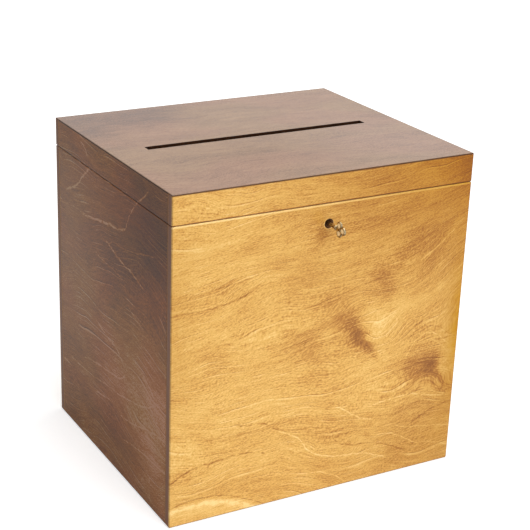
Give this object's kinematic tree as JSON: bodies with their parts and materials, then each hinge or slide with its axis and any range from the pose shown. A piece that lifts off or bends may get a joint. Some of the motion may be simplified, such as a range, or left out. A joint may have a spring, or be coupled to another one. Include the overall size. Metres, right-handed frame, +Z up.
{
  "type": "lockable envelope box",
  "caption": "Plywood box with a hinged lid, a long slot for envelopes in its top, and a small lock with a key in the front.",
  "frame": {"origin": "middle of the underside, on the base panel's lower face", "axes": "+Z up, -Y out of the front with the keyhole, +X to the right seen from the front"},
  "size_m": [0.29, 0.2777, 0.299],
  "materials": {
    "plywood_front": "orange-brown stained birch plywood, satin lacquer",
    "plywood_side": "brown stained birch plywood, satin lacquer",
    "plywood_lid": "brown stained birch plywood, satin lacquer",
    "plywood_base": "stained birch plywood",
    "hinge_brass": "lacquered brass",
    "screw_brass": "turned brass",
    "lock_brass": "brass-plated cast metal",
    "lock_steel": "plain steel",
    "key_brass": "antique brass, cast"
  },
  "bodies": {
    "carcass": {"front_panel": "plywood_front", "back_panel": "plywood_front", "left_panel": "plywood_side", "right_panel": "plywood_side", "base_panel": "plywood_base", "left_hinge_body_leaf": "hinge_brass", "left_hinge_pin": "lock_steel", "right_hinge_body_leaf": "hinge_brass", "right_hinge_pin": "lock_steel", "left_hinge_body_leaf_screw_1": "screw_brass", "left_hinge_body_leaf_screw_2": "screw_brass", "right_hinge_body_leaf_screw_1": "screw_brass", "right_hinge_body_leaf_screw_2": "screw_brass", "lock_backplate": "lock_brass", "lock_case": "lock_brass", "lock_spring": "lock_steel", "lock_screw_1": "screw_brass", "lock_screw_2": "screw_brass", "lock_screw_3": "screw_brass", "lock_screw_4": "screw_brass"},
    "lid": {"lid_top_panel": "plywood_lid", "lid_front_rail": "plywood_front", "lid_back_rail": "plywood_front", "lid_left_rail": "plywood_side", "lid_right_rail": "plywood_side", "left_hinge_lid_leaf": "hinge_brass", "right_hinge_lid_leaf": "hinge_brass", "left_hinge_lid_leaf_screw_1": "screw_brass", "left_hinge_lid_leaf_screw_2": "screw_brass", "right_hinge_lid_leaf_screw_1": "screw_brass", "right_hinge_lid_leaf_screw_2": "screw_brass", "strike_plate": "lock_brass", "strike_screw_1": "screw_brass", "strike_screw_2": "screw_brass"},
    "hub": {"lock_hub": "lock_steel"},
    "bolt": {"lock_bolt": "lock_steel"},
    "loose_key": {"key": "key_brass"}
  },
  "joints": [
    {"name": "lid_hinge", "type": "hinge", "parent": "carcass", "child": "lid", "pos_m": [0, 0.1263, 0.27285], "axis": [-1, 0, 0], "range_deg": [0, 180]},
    {"name": "key_turn", "type": "hinge", "parent": "carcass", "child": "hub", "pos_m": [0, -0.1094, 0.2551], "axis": [0, 1, 0], "range_deg": [0, 90]},
    {"name": "bolt_throw", "type": "slide", "parent": "carcass", "child": "bolt", "axis": [1, 0, 0], "range_m": [0, 0.0099]},
    {"name": "key_pull", "type": "slide", "parent": "hub", "child": "loose_key", "axis": [0, -1, 0], "range_m": [0, 0.024]}
  ],
  "couplings": [
    {"joint": "bolt_throw", "follows": "key_turn", "m_per_rad": 0.0063022}
  ]
}
